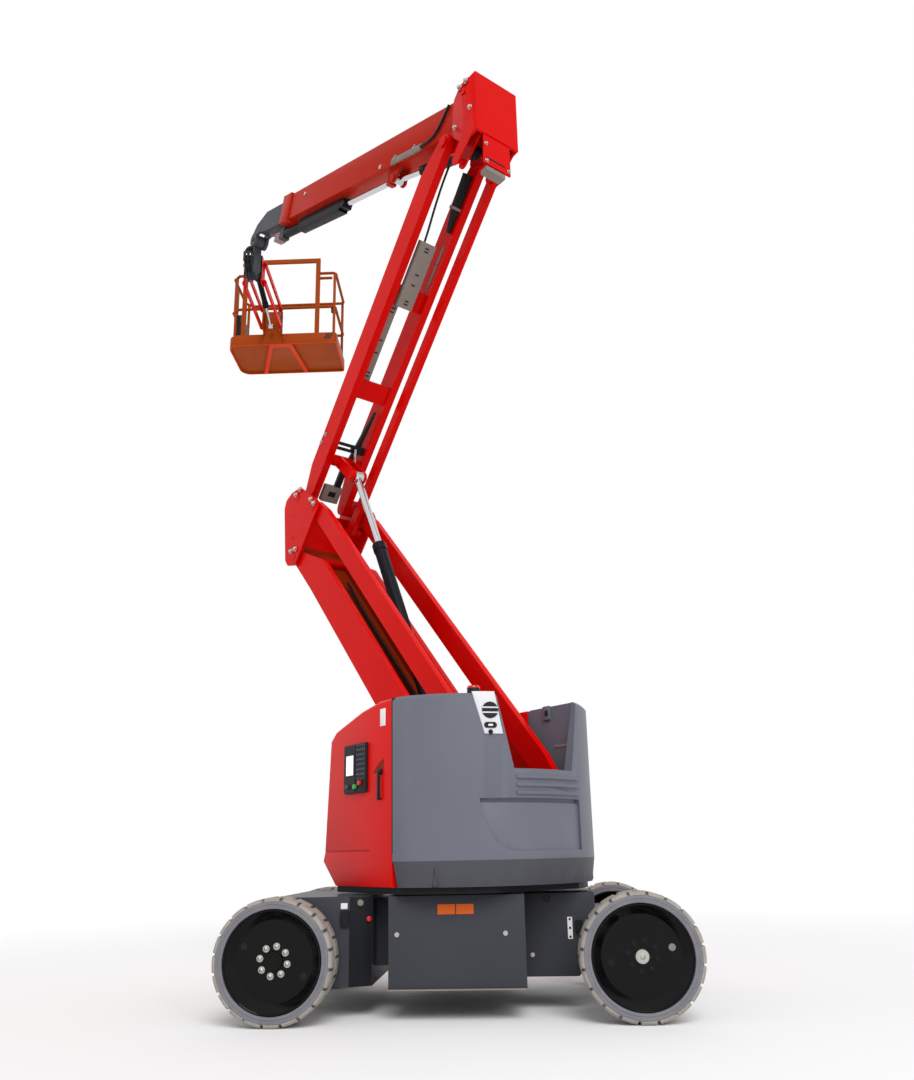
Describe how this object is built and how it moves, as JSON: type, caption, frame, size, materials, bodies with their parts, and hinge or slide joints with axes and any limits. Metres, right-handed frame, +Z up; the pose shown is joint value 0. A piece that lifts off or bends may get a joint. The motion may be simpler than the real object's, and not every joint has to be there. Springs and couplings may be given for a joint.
{
  "type": "articulating boom lift",
  "caption": "Battery boom lift with a folding two-stage arm, telescopic top boom, jib and railed basket on a slewing turntable over a four-wheel chassis with steered wheels.",
  "frame": {"origin": "on the ground under the slew axis", "axes": "+X towards the steered wheels, +Y from the near side to the far side, +Z up"},
  "size_m": [3.9961, 5.019, 7.5554],
  "materials": {
    "chassis_paint": "semi-gloss dark grey paint",
    "battery_case": "plain grey case",
    "steel_rod": "bare steel",
    "tyre": "dusty grey rubber",
    "rim_black": "gloss black paint",
    "hood_red": "gloss red moulding",
    "tail_grey": "grey moulding",
    "ballast_iron": "primed casting",
    "control_black": "black moulding",
    "panel_white": "white paint",
    "arm_red": "gloss red paint",
    "tray_grey": "grey paint",
    "barrel_black": "black paint",
    "rod_chrome": "chrome plate",
    "basket_red": "red-orange paint"
  },
  "bodies": {
    "chassis": {"chassis_frame": "chassis_paint", "battery_box_near": "chassis_paint", "battery_box_far": "chassis_paint", "batteries": "battery_case", "drive_axle": "chassis_paint", "steer_axle": "chassis_paint"},
    "turntable": {"turntable": "chassis_paint", "front_hood_near": "hood_red", "front_hood_far": "hood_red", "tail_cover": "tail_grey", "counterweights": "ballast_iron", "lower_controls": "control_black", "horn_panel": "panel_white"},
    "lower_arm": {"lower_arm": "arm_red"},
    "lower_ties": {"lower_ties": "arm_red"},
    "arm_knuckle": {"arm_knuckle": "arm_red"},
    "upper_arm": {"upper_arm": "arm_red", "cable_trays": "tray_grey"},
    "upper_tie": {"upper_tie": "arm_red"},
    "boom_head": {"boom_head": "arm_red"},
    "arm_lift_barrel": {"arm_lift_barrel": "barrel_black"},
    "arm_lift_rod": {"arm_lift_rod": "rod_chrome"},
    "boom_outer": {"boom_outer": "arm_red", "telescope_rod": "rod_chrome"},
    "boom_inner": {"boom_inner": "tray_grey", "telescope_barrel": "barrel_black"},
    "boom_lift_barrel": {"boom_lift_barrel": "barrel_black"},
    "boom_lift_rod": {"boom_lift_rod": "rod_chrome"},
    "level_head": {"level_head": "tray_grey"},
    "jib_rotator": {"jib_rotator": "barrel_black"},
    "jib_lower_links": {"jib_lower_links": "arm_red"},
    "jib_upper_links": {"jib_upper_links": "arm_red"},
    "jib_barrel": {"jib_barrel": "barrel_black"},
    "jib_rod": {"jib_rod": "rod_chrome"},
    "basket": {"basket_bracket": "arm_red", "basket_floor": "basket_red", "basket_rails": "basket_red", "upper_controls": "control_black"},
    "steer_knuckle_near": {"steer_knuckle_near": "chassis_paint"},
    "steer_knuckle_far": {"steer_knuckle_far": "chassis_paint"},
    "track_rod": {"track_rod": "steel_rod"},
    "wheel_drive_near": {"tyre_drive_near": "tyre", "rim_drive_near": "rim_black"},
    "wheel_drive_far": {"tyre_drive_far": "tyre", "rim_drive_far": "rim_black"},
    "wheel_steer_near": {"tyre_steer_near": "tyre", "rim_steer_near": "rim_black"},
    "wheel_steer_far": {"tyre_steer_far": "tyre", "rim_steer_far": "rim_black"}
  },
  "joints": [
    {"name": "slew", "type": "hinge", "parent": "chassis", "child": "turntable", "pos_m": [0, 0, 0.6], "axis": [0, 0, 1], "range_deg": [-128.2, 226.8]},
    {"name": "arm_raise", "type": "hinge", "parent": "turntable", "child": "lower_arm", "pos_m": [0.18715, -0.21759, 0.834], "axis": [0.7581, 0.6521, 0], "range_deg": [-45.3, 17.7]},
    {"name": "lower_ties_turn", "type": "hinge", "parent": "turntable", "child": "lower_ties", "pos_m": [0.37822, -0.43972, 1.144], "axis": [0.7581, 0.6521, 0], "range_deg": [-45.4, 17.8]},
    {"name": "knuckle_turn", "type": "hinge", "parent": "lower_arm", "child": "arm_knuckle", "pos_m": [-1.13511, 1.31968, 3.03139], "axis": [0.7581, 0.6521, 0], "range_deg": [-17.8, 45.4]},
    {"name": "upper_arm_turn", "type": "hinge", "parent": "arm_knuckle", "child": "upper_arm", "pos_m": [-1.1025, 1.28178, 3.49839], "axis": [0.7581, 0.6521, 0], "range_deg": [-17.8, 45.4]},
    {"name": "upper_tie_turn", "type": "hinge", "parent": "arm_knuckle", "child": "upper_tie", "pos_m": [-1.01512, 1.18019, 3.2624], "axis": [0.7581, 0.6521, 0], "range_deg": [-17.8, 45.4]},
    {"name": "head_turn", "type": "hinge", "parent": "upper_arm", "child": "boom_head", "pos_m": [0.12468, -0.14495, 5.53778], "axis": [0.7581, 0.6521, 0], "range_deg": [-45.4, 17.8]},
    {"name": "arm_lift_turn", "type": "hinge", "parent": "turntable", "child": "arm_lift_barrel", "pos_m": [0.03261, -0.03791, 0.95], "axis": [0.7581, 0.6521, 0], "range_deg": [-58.08, 22.76]},
    {"name": "arm_lift_slide", "type": "slide", "parent": "arm_lift_barrel", "child": "arm_lift_rod", "axis": [-0.284, 0.3302, 0.9002], "range_m": [-0.5671, 0.2222]},
    {"name": "boom_raise", "type": "hinge", "parent": "boom_head", "child": "boom_outer", "pos_m": [0.27792, -0.32311, 5.78278], "axis": [0.7581, 0.6521, 0], "range_deg": [-19.4, 49.6]},
    {"name": "boom_lift_turn", "type": "hinge", "parent": "boom_head", "child": "boom_lift_barrel", "pos_m": [0.19576, -0.22759, 5.46978], "axis": [0.7581, 0.6521, 0], "range_deg": [-17.56, 44.74]},
    {"name": "boom_lift_slide", "type": "slide", "parent": "boom_lift_barrel", "child": "boom_lift_rod", "axis": [-0.5966, 0.6937, 0.4036], "range_m": [-0.1127, 0.2867]},
    {"name": "telescope", "type": "slide", "parent": "boom_outer", "child": "boom_inner", "axis": [-0.6112, 0.7106, 0.3486], "range_m": [0, 0.8]},
    {"name": "level_turn", "type": "hinge", "parent": "boom_inner", "child": "level_head", "pos_m": [-2.12066, 2.46549, 6.93733], "axis": [0.7581, 0.6521, 0], "range_deg": [-49.7, 19.5]},
    {"name": "jib_slew", "type": "hinge", "parent": "level_head", "child": "jib_rotator", "pos_m": [-2.22826, 2.59059, 6.93733], "axis": [0, 0, 1], "range_deg": [-26.1, 103.9]},
    {"name": "jib_raise", "type": "hinge", "parent": "jib_rotator", "child": "jib_lower_links", "pos_m": [-2.23234, 2.72052, 6.62733], "axis": [-0.9995, -0.0314, 0], "range_deg": [-72.85, 67.15]},
    {"name": "jib_upper_turn", "type": "hinge", "parent": "jib_rotator", "child": "jib_upper_links", "pos_m": [-2.23234, 2.72052, 6.84733], "axis": [-0.9995, -0.0314, 0], "range_deg": [-72.95, 67.25]},
    {"name": "basket_turn", "type": "hinge", "parent": "jib_lower_links", "child": "basket", "pos_m": [-2.25629, 3.4827, 6.58937], "axis": [-0.9995, -0.0314, 0], "range_deg": [-67.25, 72.95]},
    {"name": "jib_lift_turn", "type": "hinge", "parent": "jib_rotator", "child": "jib_barrel", "pos_m": [-2.23234, 2.72052, 6.84733], "axis": [-0.9995, -0.0314, 0], "range_deg": [-80.23, 73.97]},
    {"name": "jib_lift_slide", "type": "slide", "parent": "jib_barrel", "child": "jib_rod", "axis": [-0.0298, 0.9468, -0.3204], "range_m": [-0.1904, 0.1756]},
    {"name": "steer_near", "type": "hinge", "parent": "chassis", "child": "steer_knuckle_near", "pos_m": [0.9, -0.5, 0.3], "axis": [0, 0, 1], "range_deg": [-35, 35]},
    {"name": "steer_far", "type": "hinge", "parent": "chassis", "child": "steer_knuckle_far", "pos_m": [0.9, 0.5, 0.3], "axis": [0, 0, 1], "range_deg": [-35.1, 35.1]},
    {"name": "track_rod_slide", "type": "slide", "parent": "chassis", "child": "track_rod", "axis": [0, 1, 0], "range_m": [-0.0926, 0.0926]},
    {"name": "wheel_drive_near", "type": "hinge", "parent": "chassis", "child": "wheel_drive_near", "pos_m": [-0.9, -0.655, 0.3], "axis": [0, 1, 0], "continuous": true},
    {"name": "wheel_drive_far", "type": "hinge", "parent": "chassis", "child": "wheel_drive_far", "pos_m": [-0.9, 0.655, 0.3], "axis": [0, 1, 0], "continuous": true},
    {"name": "wheel_steer_near", "type": "hinge", "parent": "steer_knuckle_near", "child": "wheel_steer_near", "pos_m": [0.9, -0.655, 0.3], "axis": [0, 1, 0], "continuous": true},
    {"name": "wheel_steer_far", "type": "hinge", "parent": "steer_knuckle_far", "child": "wheel_steer_far", "pos_m": [0.9, 0.655, 0.3], "axis": [0, 1, 0], "continuous": true}
  ],
  "couplings": [
    {"joint": "lower_ties_turn", "follows": "arm_raise", "ratio": 1},
    {"joint": "knuckle_turn", "follows": "arm_raise", "ratio": -1},
    {"joint": "upper_arm_turn", "follows": "arm_raise", "ratio": -1},
    {"joint": "upper_tie_turn", "follows": "arm_raise", "ratio": -1},
    {"joint": "head_turn", "follows": "arm_raise", "ratio": 1},
    {"joint": "arm_lift_turn", "follows": "arm_raise", "ratio": 1.28},
    {"joint": "arm_lift_slide", "follows": "arm_raise", "m_per_rad": 0.716},
    {"joint": "boom_lift_turn", "follows": "boom_raise", "ratio": 0.9},
    {"joint": "boom_lift_slide", "follows": "boom_raise", "m_per_rad": 0.33},
    {"joint": "level_turn", "follows": "boom_raise", "ratio": -1},
    {"joint": "jib_upper_turn", "follows": "jib_raise", "ratio": 1},
    {"joint": "basket_turn", "follows": "jib_raise", "ratio": -1},
    {"joint": "jib_lift_turn", "follows": "jib_raise", "ratio": 1.1},
    {"joint": "jib_lift_slide", "follows": "jib_raise", "m_per_rad": 0.149},
    {"joint": "steer_far", "follows": "steer_near", "ratio": 1},
    {"joint": "track_rod_slide", "follows": "steer_near", "m_per_rad": -0.15}
  ]
}
